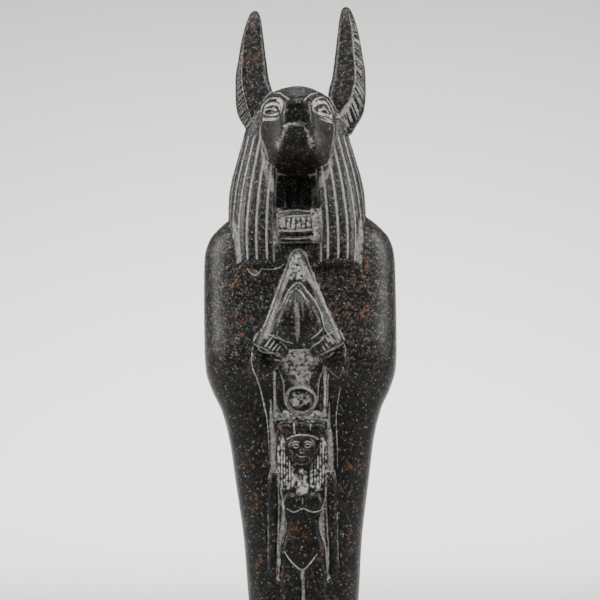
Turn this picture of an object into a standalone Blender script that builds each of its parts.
"""Jackal-headed mummiform statuette, carved with its low base from one block of dark granite.

The figure stands wrapped, with its hands together on the chest and a goddess carved in sunk relief down the front.
+Z is up and the figure faces -Y. The origin is the centre of the underside. Lengths are in metres.
"""

import math

import bmesh
import bpy
import numpy as np
from mathutils import Matrix, Vector

# Driving sizes, in metres.
STATUE_HEIGHT = 0.300
BASE_HEIGHT = 0.012
BASE_MARGIN = 0.009
BASE_EDGE_RADIUS = 0.0015

# The figure is drawn in parts of its own height: it is FIGURE_PARTS high from the base's top to the ear tips.
FIGURE_PARTS = 288.0
PART = (STATUE_HEIGHT - BASE_HEIGHT) / FIGURE_PARTS

# Heights over the base, half widths and depths from here on are in those parts. A section's squareness is 2 for an
# ellipse and more for one with flatter sides. A loft has about this many rings for each row of its table.
RINGS_A_ROW = 1.3

# Wrapped body: height, half width, depth in front of the axis, depth behind it.
BODY = (
    (-1, 14.6, 14.6, 14.2),
    (20, 14.4, 13.6, 14.0),
    (38, 15.8, 14.0, 14.4),
    (72, 19.8, 15.4, 15.8),
    (93, 21.3, 16.1, 16.8),
    (114, 24.1, 17.0, 17.6),
    (129, 26.2, 17.4, 18.2),
    (140, 29.0, 17.6, 18.8),
    (147, 32.3, 18.3, 19.3),
    (154, 34.5, 20.7, 19.8),
    (162, 35.0, 21.3, 20.1),
    (174, 35.1, 19.9, 20.3),
    (190, 35.0, 19.2, 20.3),
    (196, 34.7, 18.8, 19.9),
    (202, 32.9, 17.6, 18.7),
    (206, 29.6, 16.2, 17.4),
    (210, 24.6, 14.4, 15.4),
    (214, 16.0, 11.0, 12.0),
)
BODY_SQUARENESS = 2.7
BODY_COLUMNS = 40

# Foot block under the wrapping: height, half width, depth in front, depth behind.
FOOT = (
    (-1, 13.6, 31.0, 10.0),
    (9, 13.2, 30.4, 10.0),
    (14, 12.4, 28.0, 10.0),
    (19, 11.2, 22.0, 10.0),
    (25, 9.6, 15.0, 10.0),
)
FOOT_SQUARENESS = 3.0
FOOT_COLUMNS = 24

# Striped headcloth: height, half width, depth in front, depth behind, squareness of the section.
# Its strands keep their share of the way round from the front to the back.
WIG = (
    (192.0, 22.2, 22.0, 21.9, 4.6),
    (196, 22.9, 22.4, 22.0, 4.4),
    (203, 24.4, 22.4, 22.0, 3.6),
    (210, 25.2, 21.8, 21.6, 3.0),
    (217, 25.0, 20.2, 21.0, 2.7),
    (224, 23.9, 17.6, 20.3, 2.6),
    (231, 22.0, 14.4, 19.7, 2.6),
    (239, 19.8, 11.0, 19.0, 2.6),
    (246, 17.8, 8.6, 18.0, 2.5),
    (252, 14.8, 6.6, 15.2, 2.3),
    (256.5, 10.0, 4.6, 10.4, 2.1),
    (258.6, 5.0, 2.6, 5.4, 2.0),
)
STRANDS_A_SIDE = 17
STRAND_START = 0.124
GROOVE_DEPTH = 0.75
GROOVE_HALF_WIDTH = 0.006
LAPPET_BEVEL = 1.0
THROAT_FLOOR = 12.5
LAPPET_SPLAY = 0.96
STRAND_FADE = 8.0

# Jackal head, from the ears forward: forward distance, top, bottom, half width, how much wider the jaw is.
HEAD = (
    (-6, 256.5, 226, 12.8, 0.0),
    (1, 258.6, 224.4, 13.9, 0.0),
    (6, 258.2, 223.6, 14.0, 0.0),
    (10, 256.2, 223.8, 13.4, 0.02),
    (14, 253.6, 224.6, 11.9, 0.08),
    (18, 251.2, 226.0, 10.2, 0.14),
    (23, 249.9, 228.2, 8.6, 0.16),
    (29, 249.4, 230.6, 7.2, 0.14),
    (34, 248.3, 232.8, 6.1, 0.08),
    (37.2, 246.2, 235.0, 4.8, 0.02),
    (38.8, 243.6, 238.0, 2.6, 0.0),
)
HEAD_SQUARENESS_TOP = 2.2
HEAD_SQUARENESS_BOTTOM = 3.4
HEAD_COLUMNS = 24
HEAD_REACH = np.arange(38.0, -6.0, -0.25)
EYE = {"across": 8.5, "height": 247.3, "radii": (3.3, 2.0, 1.7), "sunk": 1.1}

# Ear: height, inner edge, outer edge, thickness front to back, distance behind the axis.
EAR = (
    (241, 12.0, 18.8, 8.0, 0.0),
    (244, 11.0, 20.6, 9.2, 0.0),
    (247, 10.4, 22.5, 9.8, 0.1),
    (250, 10.0, 23.6, 9.8, 0.3),
    (256, 10.2, 24.2, 9.2, 0.8),
    (262, 11.7, 24.2, 8.4, 1.3),
    (270, 12.8, 23.1, 7.2, 1.8),
    (278, 13.8, 21.7, 5.8, 2.2),
    (284, 14.6, 20.0, 4.4, 2.5),
    (287.2, 15.6, 18.4, 2.6, 2.7),
    (288, 16.6, 17.4, 0.9, 2.8),
)
EAR_SQUARENESS = 2.2
EAR_COLUMNS = 14
EAR_HOLLOW = 0.5

# Throat and the collar plate between the lappets: height, half width, depth in front, depth behind.
NECK = (
    (196, 5.2, 17.0, 6.0),
    (210, 5.6, 16.4, 6.0),
    (218, 6.6, 14.6, 6.0),
    (228, 8.2, 12.0, 6.0),
)
COLLAR = (
    (199.2, 8.8, 20.0, 5.0),
    (200.6, 9.4, 20.8, 5.0),
    (210.2, 9.8, 18.6, 5.0),
    (211.6, 9.4, 17.4, 5.0),
)
NECK_SQUARENESS = 3.0
COLLAR_SQUARENESS = 8.0
PLATE_COLUMNS = 20

# Joined hands, palm to palm: height, half width, depth of the ridge in front. Their outer edges stand over the chest.
HANDS = (
    (160.5, 7.6, 22.6),
    (163, 12.4, 25.0),
    (166, 13.2, 26.8),
    (170, 11.6, 27.4),
    (176, 9.3, 26.8),
    (183, 6.6, 24.8),
    (190, 3.9, 22.8),
    (194.6, 2.1, 21.6),
    (196.2, 0.9, 20.4),
)
HANDS_EDGE = 1.7
HANDS_ROOT = 2.0
RIDGE_SHARE = 0.55
# Swell of one palm in front of that: height, width from the groove between the palms, depth in front.
PALM = (
    (161.0, 4.6, 25.2),
    (163.4, 7.6, 27.4),
    (166.8, 8.6, 28.8),
    (170.0, 8.0, 29.2),
    (175.0, 5.7, 28.4),
    (178.6, 3.6, 27.0),
    (181.4, 1.6, 25.2),
)
PALM_SWELL = 4.0
PALM_GAP = 0.1
CUFF = {"centre": (13.2, -18.2, 156.6), "radii": (5.0, 3.3, 6.4)}
BRACELET = {"centre": (9.4, -20.6, 162.4), "radius": 6.4, "length": 4.6, "lean": 27.0, "sides": 18}

# Sunk panel round the goddess: height and half width of its outline, and how far its ground lies in the body.
PANEL = (
    (24.0, 2.2),
    (26.0, 3.8),
    (30.0, 4.6),
    (48.0, 5.4),
    (68.0, 6.0),
    (78.0, 6.6),
    (82.0, 9.4),
    (84.0, 10.4),
    (100.0, 10.6),
    (114.0, 10.4),
    (118.0, 11.0),
    (120.0, 11.5),
    (128.0, 11.6),
    (137.0, 10.4),
    (145.0, 10.2),
    (153.0, 10.0),
    (156.0, 8.6),
    (159.0, 5.0),
)
PANEL_DEPTH = 1.3
PANEL_RINGS_A_ROW = 1.9
PANEL_STEPS = 9
PANEL_LID = 4.0

# Goddess. Heights over the base's top, half widths, and how far each form stands over the panel's ground.
DISC = {"height": 143.6, "radius": 4.5, "rise": 2.0, "sides": 22}
HORN = ((3.4, 137.2), (6.2, 139.6), (7.6, 143.8), (7.8, 148.6), (9.0, 153.8))
HORN_RADIUS = (0.9, 1.15, 1.1, 1.0, 0.5)
HORN_LIFT = 0.4
CROWN_RING = ((134.6, 3.6, 1.5), (137.2, 3.6, 1.5))
HAIR = ((113.0, 8.4, 2.0), (114.0, 8.8, 2.3), (126, 9.0, 2.5), (131, 8.6, 2.6), (134, 6.6, 2.4), (135.6, 3.0, 1.2))
FACE = {"height": 126.4, "radii": (5.5, 3.2, 6.5), "rise": 4.2}
TORSO = (
    (80.0, 6.4, 1.2),
    (84.0, 7.8, 2.5),
    (89.6, 7.9, 2.8),
    (94.0, 6.7, 2.6),
    (99.6, 5.5, 2.3),
    (103.0, 6.2, 2.4),
    (107.0, 7.4, 2.6),
    (112.0, 9.4, 2.4),
    (117.4, 10.4, 1.8),
)
BREAST = {"across": 3.4, "height": 107.2, "radii": (3.4, 3.0, 3.7), "rise": 4.0}
ARM = (
    (80.4, 10.9, 1.2, 1.2),
    (82.6, 11.0, 2.0, 2.5),
    (86.0, 10.9, 1.8, 2.2),
    (92.0, 10.8, 1.6, 2.0),
    (100.0, 10.6, 1.8, 2.3),
    (110.0, 10.5, 2.0, 2.6),
    (115.0, 10.3, 2.0, 2.5),
    (117.6, 10.0, 1.3, 1.6),
)
LEG = (
    (24.6, 3.6, 2.8, 2.0),
    (26.4, 3.5, 2.6, 2.9),
    (30.0, 3.2, 2.1, 2.2),
    (44.0, 3.9, 3.0, 2.5),
    (56.0, 4.2, 3.2, 2.7),
    (70.0, 4.6, 3.9, 2.9),
    (79.0, 4.5, 4.1, 2.8),
    (85.0, 4.1, 4.0, 2.0),
    (87.5, 3.6, 3.4, 0.8),
)
RELIEF_COLUMNS = 12
RELIEF_ROUND = 2.2
RELIEF_ROOT = 2.5
BALL_SIDES = 12
BALL_RINGS = 8

STONE_COLOUR = (0.030, 0.028, 0.027, 1.0)
STONE_ROUGHNESS = 0.38


def clear_scene():
    for obj in list(bpy.data.objects):
        bpy.data.objects.remove(obj)


def collection(name):
    made = bpy.data.collections.new(name)
    bpy.context.scene.collection.children.link(made)
    return made


def stone():
    material = bpy.data.materials.new("dark granite")
    material.use_nodes = True
    shader = material.node_tree.nodes["Principled BSDF"]
    shader.inputs["Base Color"].default_value = STONE_COLOUR
    shader.inputs["Roughness"].default_value = STONE_ROUGHNESS
    shader.inputs["Metallic"].default_value = 0.0
    return material


def between(table, at):
    """The table's other columns at each value of its first, on a smooth curve that never overshoots."""
    table = np.asarray(table, float)
    x, values = table[:, 0], table[:, 1:]
    step = np.diff(x)[:, None]
    slope = np.diff(values, axis=0) / step
    tangent = np.zeros_like(values)
    same_way = slope[:-1] * slope[1:] > 0
    w0, w1 = 2 * step[1:] + step[:-1], step[1:] + 2 * step[:-1]
    with np.errstate(divide="ignore", invalid="ignore"):
        harmonic = (w0 + w1) / (w0 / slope[:-1] + w1 / slope[1:])
    tangent[1:-1] = np.where(same_way, harmonic, 0.0)
    tangent[0], tangent[-1] = slope[0], slope[-1]
    at = np.clip(np.atleast_1d(at), x[0], x[-1])
    i = np.clip(np.searchsorted(x, at, side="right") - 1, 0, len(x) - 2)
    h = step[i]
    t = (at[:, None] - x[i][:, None]) / h
    return (
        (2 * t**3 - 3 * t**2 + 1) * values[i]
        + (t**3 - 2 * t**2 + t) * h * tangent[i]
        + (3 * t**2 - 2 * t**3) * values[i + 1]
        + (t**3 - t**2) * h * tangent[i + 1]
    )


def rings_of(table, rings_a_row=RINGS_A_ROW):
    """Where a loft's rings go and their sizes, closer together where the table's own rows are."""
    own = np.asarray(table, float)[:, 0]
    places = np.interp(np.linspace(0, len(own) - 1, round(len(own) * rings_a_row)), np.arange(len(own)), own)
    return list(zip(places, between(table, places)))


def on_base(point):
    """A point of the figure, whose own zero is the middle of the base's top, in metres."""
    return Vector(point) * PART + Vector((0, 0, BASE_HEIGHT))


def superellipse(angle, squareness):
    """Across and forward shares of a rounded section, with angle 0 at the front."""
    across, forward = np.sin(angle), np.cos(angle)
    power = 2.0 / squareness
    return np.sign(across) * np.abs(across) ** power, np.sign(forward) * np.abs(forward) ** power


def section(height, half_width, front, back, squareness, columns, centre=0.0):
    """One horizontal ring of points, counted from the front round by +X."""
    turn = np.arange(columns) * 2 * math.pi / columns
    across, forward = superellipse(turn, squareness)
    depth = np.where(forward > 0, front, back)
    return np.column_stack([centre + half_width * across, -depth * forward, np.full(columns, float(height))])


def loft(name, rings, where):
    """A closed solid through rings that have the same number of points, with flat ends."""
    bm = bmesh.new()
    loops = [[bm.verts.new(on_base(point)) for point in ring] for ring in rings]
    for low, high in zip(loops, loops[1:]):
        for i in range(len(low)):
            j = (i + 1) % len(low)
            bm.faces.new((low[i], low[j], high[j], high[i]))
    bm.faces.new(loops[0][::-1])
    bm.faces.new(loops[-1])
    bmesh.ops.recalc_face_normals(bm, faces=bm.faces)
    return form(name, bm, where)


def form(name, bm, where):
    mesh = bpy.data.meshes.new(name)
    bm.to_mesh(mesh)
    bm.free()
    obj = bpy.data.objects.new(name, mesh)
    where.objects.link(obj)
    return obj


def as_tool(obj):
    obj.hide_render = True
    obj.display_type = "WIRE"
    return obj


def lofted(name, table, squareness, columns, where):
    rings = [section(height, *sizes, squareness, columns) for height, sizes in rings_of(table)]
    return loft(name, rings, where)


def ball(name, centre, radii, where):
    bm = bmesh.new()
    bmesh.ops.create_uvsphere(bm, u_segments=BALL_SIDES, v_segments=BALL_RINGS, radius=1.0)
    for vert in bm.verts:
        vert.co = on_base([middle + share * radius for middle, share, radius in zip(centre, vert.co, radii)])
    return form(name, bm, where)


def body_front(across, height, inset=0.0):
    """How far in front of the axis the wrapped body's surface lies."""
    half_width, front, _ = between(BODY, height)[0]
    share = min(abs(across) / (half_width - inset), 1.0)
    return (front - inset) * (1 - share**BODY_SQUARENESS) ** (1 / BODY_SQUARENESS)


def ground(across, height):
    """How far in front of the axis the sunk panel's ground lies."""
    return body_front(across, height, PANEL_DEPTH)


def wrapped_body(where):
    return lofted("anubis_statue", BODY, BODY_SQUARENESS, BODY_COLUMNS, where)


def foot_block(where):
    return lofted("foot_block", FOOT, FOOT_SQUARENESS, FOOT_COLUMNS, where)


def around(half_width, front, back, squareness, shares):
    """Points of half a section, at shares of the way round it from the front to the back."""
    fine = np.linspace(0, math.pi, 361)
    across, forward = superellipse(fine, squareness)
    x, y = half_width * across, -np.where(forward > 0, front, back) * forward
    way = np.concatenate([[0], np.cumsum(np.hypot(np.diff(x), np.diff(y)))])
    return np.interp(shares, way / way[-1], x), np.interp(shares, way / way[-1], y)


def wig_section(height, half_width, front, back, squareness, groove):
    """A ring of the headcloth: strands between grooves, and a notch for the throat at the front."""
    lines = np.linspace(STRAND_START, 1.0, STRANDS_A_SIDE + 1)
    shares, sunk = [], []
    for line in lines:
        for offset, depth in ((-GROOVE_HALF_WIDTH, 0.0), (0.0, groove), (GROOVE_HALF_WIDTH, 0.0)):
            if STRAND_START <= line + offset <= 1.0:
                shares.append(line + offset)
                sunk.append(0.0 if line == lines[0] else depth)
    x, y = around(half_width, front, back, squareness, np.array(shares))
    inward = np.array(sunk) / np.hypot(x, y)
    x, y = x * (1 - inward), y * (1 - inward)
    half = [(x[0] * LAPPET_SPLAY, max(-THROAT_FLOOR, y[0] * LAPPET_SPLAY))] + list(zip(x, y))
    other = [(-px, py) for px, py in reversed(half[:-1])]
    return [(px, py, height) for px, py in half[:-1] + [(0.0, y[-1])] + other]


def headcloth(where):
    """The headcloth with a bevel along the lappets' lower edge. Its grooves fade out towards the crown."""
    crown = WIG[-2][0]
    height, half_width, front, back, squareness = WIG[0]
    rings = [wig_section(height - LAPPET_BEVEL, half_width - LAPPET_BEVEL, front - LAPPET_BEVEL,
                         back - LAPPET_BEVEL, squareness, GROOVE_DEPTH)]
    for height, sizes in rings_of(WIG, 1.0):
        groove = GROOVE_DEPTH * np.clip((crown - height) / STRAND_FADE, 0.0, 1.0)
        rings.append(wig_section(height, *sizes, groove))
    return loft("headcloth", rings, where)


def head_ring(forward, top, bottom, half_width, jaw, columns=HEAD_COLUMNS):
    """An upright ring across the muzzle, rounder over the eyes and wider under the jaw."""
    turn = np.arange(columns) * 2 * math.pi / columns
    middle, half_height = (top + bottom) / 2, (top - bottom) / 2
    across, up = superellipse(turn, HEAD_SQUARENESS_TOP)
    across_below, up_below = superellipse(turn, HEAD_SQUARENESS_BOTTOM)
    across, up = np.where(up < 0, across_below, across), np.where(up < 0, up_below, up)
    x = half_width * across * (1 - jaw * up)
    return np.column_stack([x, np.full(columns, -float(forward)), middle + half_height * up])


def head_depth(across, height):
    """How far forward the head's surface lies at a place beside the muzzle."""
    for forward, sizes in zip(HEAD_REACH, between(HEAD, HEAD_REACH)):
        ring = head_ring(forward, *sizes, 96)
        right = ring[ring[:, 0] > 0]
        if abs(right[np.argmin(abs(right[:, 2] - height)), 0]) > across:
            return forward
    return HEAD[0][0]


def jackal_head(where):
    loft("jackal_head", [head_ring(forward, *sizes) for forward, sizes in rings_of(HEAD)], where)
    depth = head_depth(EYE["across"], EYE["height"]) - EYE["sunk"]
    for side in (-1, 1):
        ball(f"eye_{side}", (side * EYE["across"], -depth, EYE["height"]), EYE["radii"], where)


def ear(side, where):
    """A tall pointed ear whose front is hollowed a little inside its rim."""
    turn = np.arange(EAR_COLUMNS) * 2 * math.pi / EAR_COLUMNS
    across, forward = superellipse(turn, EAR_SQUARENESS)
    rings = []
    for height, (inner, outer, thickness, behind) in rings_of(EAR):
        hollow = EAR_HOLLOW * np.clip(forward, 0, 1) ** 4
        x = (inner + outer) / 2 + (outer - inner) / 2 * across
        y = behind - thickness / 2 * forward + hollow
        rings.append([(side * px, py, height) for px, py in zip(x, y)])
    return loft(f"ear_{side}", rings, where)


def plate(name, table, squareness, where):
    rings = [section(*row, squareness, PLATE_COLUMNS) for row in table]
    return loft(name, rings, where)


def joined_hands(where):
    """Both hands up to the fingertips: a ridge in front that slopes back to an edge standing over the chest."""
    rings = []
    for height, (half_width, front) in rings_of(HANDS):
        chest = body_front(half_width, height)
        edge = min(chest + HANDS_EDGE, front)
        half = [(RIDGE_SHARE * half_width, front), (half_width, edge), (half_width, chest - HANDS_ROOT)]
        ring = half + [(-x, depth) for x, depth in reversed(half)]
        rings.append([(x, -depth, height) for x, depth in ring])
    return loft("joined_hands", rings, where)


def palm(side, where):
    """The swell of one palm, rising beside the groove where the two meet."""
    rings = []
    for height, (width, front) in rings_of(PALM):
        ring = section(height, width / 2 - PALM_GAP, PALM_SWELL, front, RELIEF_ROUND, RELIEF_COLUMNS, width / 2)
        rings.append((ring - np.array([0, front - PALM_SWELL, 0])) * np.array([side, 1, 1]))
    return loft(f"palm_{side}", rings, where)


def mirrored(centre, side):
    return (side * centre[0], centre[1], centre[2])


def drum(radius, length, sides):
    """A closed cylinder round +Z, in the figure's parts."""
    bm = bmesh.new()
    bmesh.ops.create_cone(bm, cap_ends=True, segments=sides, radius1=radius, radius2=radius, depth=length)
    return bm


def bracelet(side, where):
    """A band round the wrist, leaning in towards the joined hands."""
    bm = drum(BRACELET["radius"], BRACELET["length"], BRACELET["sides"])
    turn = Matrix.Rotation(math.radians(-side * BRACELET["lean"]), 3, "Y")
    for vert in bm.verts:
        vert.co = on_base(turn @ vert.co + Vector(mirrored(BRACELET["centre"], side)))
    return form(f"bracelet_{side}", bm, where)


def arms_and_hands(where):
    joined_hands(where)
    for side in (-1, 1):
        palm(side, where)
        ball(f"cuff_{side}", mirrored(CUFF["centre"], side), CUFF["radii"], where)
        bracelet(side, where)


def sunk_panel(where):
    """The space cut away round the goddess: her outline pushed in, down to a ground that follows the body."""
    rings = []
    for height, (half_width,) in rings_of(PANEL, PANEL_RINGS_A_ROW):
        steps = np.linspace(-half_width, half_width, PANEL_STEPS)
        floor = [(x, -ground(x, height), height) for x in steps]
        lid = [(x, -body_front(x, height) - PANEL_LID, height) for x in steps[::-1]]
        rings.append(floor + lid)
    return as_tool(loft("sunk_panel", rings, where))


def relief_ring(height, centre, half_width, rise):
    """A ring of a form in relief: its outer half stands over the ground, and its inner half is sunk in the body."""
    ring = section(height, half_width, rise, RELIEF_ROOT, RELIEF_ROUND, RELIEF_COLUMNS, centre)
    ring[:, 1] -= [ground(across, height) for across in ring[:, 0]]
    return ring


def relief(name, table, where):
    """A form in relief on the middle line, from a table of height, half width and rise."""
    return loft(name, [relief_ring(height, 0.0, *sizes) for height, sizes in rings_of(table)], where)


def limb(name, table, side, where):
    """A form in relief beside the middle line, whose table also has the distance across."""
    rings = [relief_ring(height, *sizes) * np.array([side, 1, 1]) for height, sizes in rings_of(table)]
    return loft(f"{name}_{side}", rings, where)


def sun_disc(where):
    length = DISC["rise"] + RELIEF_ROOT
    bm = drum(DISC["radius"], length, DISC["sides"])
    turn = Matrix.Rotation(math.radians(90), 3, "X")
    centre = Vector((0, length / 2 - DISC["rise"] - ground(0, DISC["height"]), DISC["height"]))
    for vert in bm.verts:
        vert.co = on_base(turn @ vert.co + centre)
    return form("sun_disc", bm, where)


def horn(side, where):
    """A cow's horn: a tapering tube bent round the disc."""
    curve = bpy.data.curves.new(f"horn_{side}", "CURVE")
    curve.dimensions = "3D"
    curve.bevel_depth = PART
    curve.bevel_resolution = 1
    curve.resolution_u = 3
    curve.use_fill_caps = True
    spline = curve.splines.new("BEZIER")
    spline.bezier_points.add(len(HORN) - 1)
    for point, (across, height), radius in zip(spline.bezier_points, HORN, HORN_RADIUS):
        point.co = on_base((side * across, -ground(across, height) - HORN_LIFT, height))
        point.handle_left_type = point.handle_right_type = "AUTO"
        point.radius = radius
    return meshed_curve(f"horn_{side}", curve, where)


def meshed_curve(name, curve, where):
    """A mesh of the curve with its end caps welded on, so that it can be joined."""
    guide = bpy.data.objects.new(name + "_curve", curve)
    where.objects.link(guide)
    graph = bpy.context.evaluated_depsgraph_get()
    mesh = bpy.data.meshes.new_from_object(guide.evaluated_get(graph))
    bpy.data.objects.remove(guide)
    bm = bmesh.new()
    bm.from_mesh(mesh)
    bmesh.ops.remove_doubles(bm, verts=bm.verts, dist=0.02 * PART)
    bmesh.ops.recalc_face_normals(bm, faces=bm.faces)
    return form(name, bm, where)


def relief_ball(name, across, height, radii, rise, where):
    centre = (across, -(ground(across, height) + rise - radii[1]), height)
    return ball(name, centre, radii, where)


def goddess(where):
    """The goddess: disc between horns, long hair, arms at her sides and legs together."""
    sun_disc(where)
    relief("crown_ring", CROWN_RING, where)
    relief("hair", HAIR, where)
    relief_ball("face", 0.0, FACE["height"], FACE["radii"], FACE["rise"], where)
    relief("torso", TORSO, where)
    for side in (-1, 1):
        horn(side, where)
        relief_ball(f"breast_{side}", side * BREAST["across"], BREAST["height"], BREAST["radii"], BREAST["rise"], where)
        limb("arm", ARM, side, where)
        limb("leg", LEG, side, where)


def base_slab(where):
    """The low base, left as part of the block: a slab round the feet with softened edges and a flat underside."""
    half_width = BODY[0][1] * PART + BASE_MARGIN
    front = FOOT[0][2] * PART + BASE_MARGIN
    back = BODY[0][3] * PART + BASE_MARGIN
    bm = bmesh.new()
    bmesh.ops.create_cube(bm, size=1.0)
    for vert in bm.verts:
        vert.co.x *= 2 * half_width
        vert.co.y = vert.co.y * (front + back) + (back - front) / 2
        vert.co.z = (vert.co.z + 0.5) * BASE_HEIGHT
    edges = [e for e in bm.edges if any(v.co.z > BASE_HEIGHT / 2 for v in e.verts)]
    bmesh.ops.bevel(bm, geom=edges, offset=BASE_EDGE_RADIUS, segments=2, affect="EDGES", profile=0.5)
    return form("base_slab", bm, where)


def join(obj, forms, operation):
    modifier = obj.modifiers.new(operation.lower(), "BOOLEAN")
    modifier.operation = operation
    modifier.operand_type = "COLLECTION"
    modifier.collection = forms
    modifier.solver = "EXACT"


def build():
    clear_scene()
    shown = collection("anubis statuette")
    cut_away, body_forms, relief_forms = collection("cut away"), collection("figure forms"), collection("relief forms")
    statue = wrapped_body(shown)
    sunk_panel(cut_away)
    foot_block(body_forms)
    base_slab(body_forms)
    headcloth(body_forms)
    jackal_head(body_forms)
    plate("throat", NECK, NECK_SQUARENESS, body_forms)
    plate("collar", COLLAR, COLLAR_SQUARENESS, body_forms)
    for side in (-1, 1):
        ear(side, body_forms)
    arms_and_hands(body_forms)
    goddess(relief_forms)
    for group in (body_forms, relief_forms):
        for obj in group.objects:
            as_tool(obj)
    join(statue, cut_away, "DIFFERENCE")
    join(statue, relief_forms, "UNION")
    join(statue, body_forms, "UNION")
    statue.data.materials.append(stone())
    statue.data.shade_smooth()
    statue.data.set_sharp_from_angle(angle=math.radians(35))


build()
